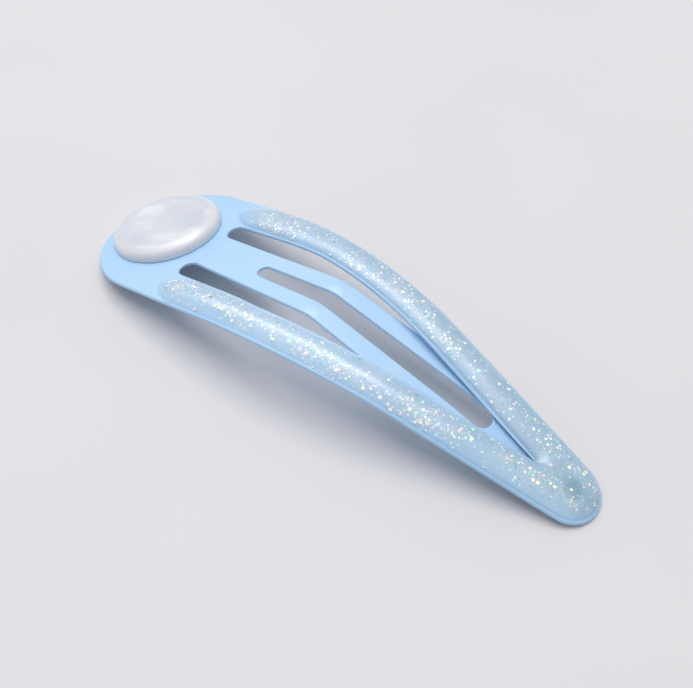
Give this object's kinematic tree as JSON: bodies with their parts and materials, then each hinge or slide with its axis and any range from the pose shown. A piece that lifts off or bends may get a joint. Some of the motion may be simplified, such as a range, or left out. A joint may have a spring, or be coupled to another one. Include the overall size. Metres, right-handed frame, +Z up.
{
  "type": "snap hair clip",
  "caption": "Arched sheet-metal snap hair clip with a slotted tongue, two arms under a domed glitter resin coat, a tip rivet and a round white disc on its head.",
  "frame": {"origin": "on the surface the clip lies on, at the bottom centre of its bounding box", "axes": "+X from the round head to the tip, +Y across the clip, +Z up from the surface"},
  "size_m": [0.05, 0.0148, 0.0065],
  "materials": {
    "blue_paint": "satin pale blue paint on stamped steel sheet",
    "disc_plastic": "smooth white with a slight pearl sheen",
    "resin": "clear glossy resin dome with iridescent flakes in it",
    "rivet_paint": "painted steel, seen through the resin"
  },
  "bodies": {
    "head": {"head_tongue": "blue_paint", "white_disc": "disc_plastic"},
    "arms": {"arms": "blue_paint", "glitter_resin": "resin", "tip_rivet": "rivet_paint"}
  },
  "joints": [
    {"name": "arms_open", "type": "hinge", "parent": "head", "child": "arms", "pos_m": [-0.01329, 0, 0.00348], "axis": [0, -1, 0], "range_deg": [0, 30]}
  ]
}
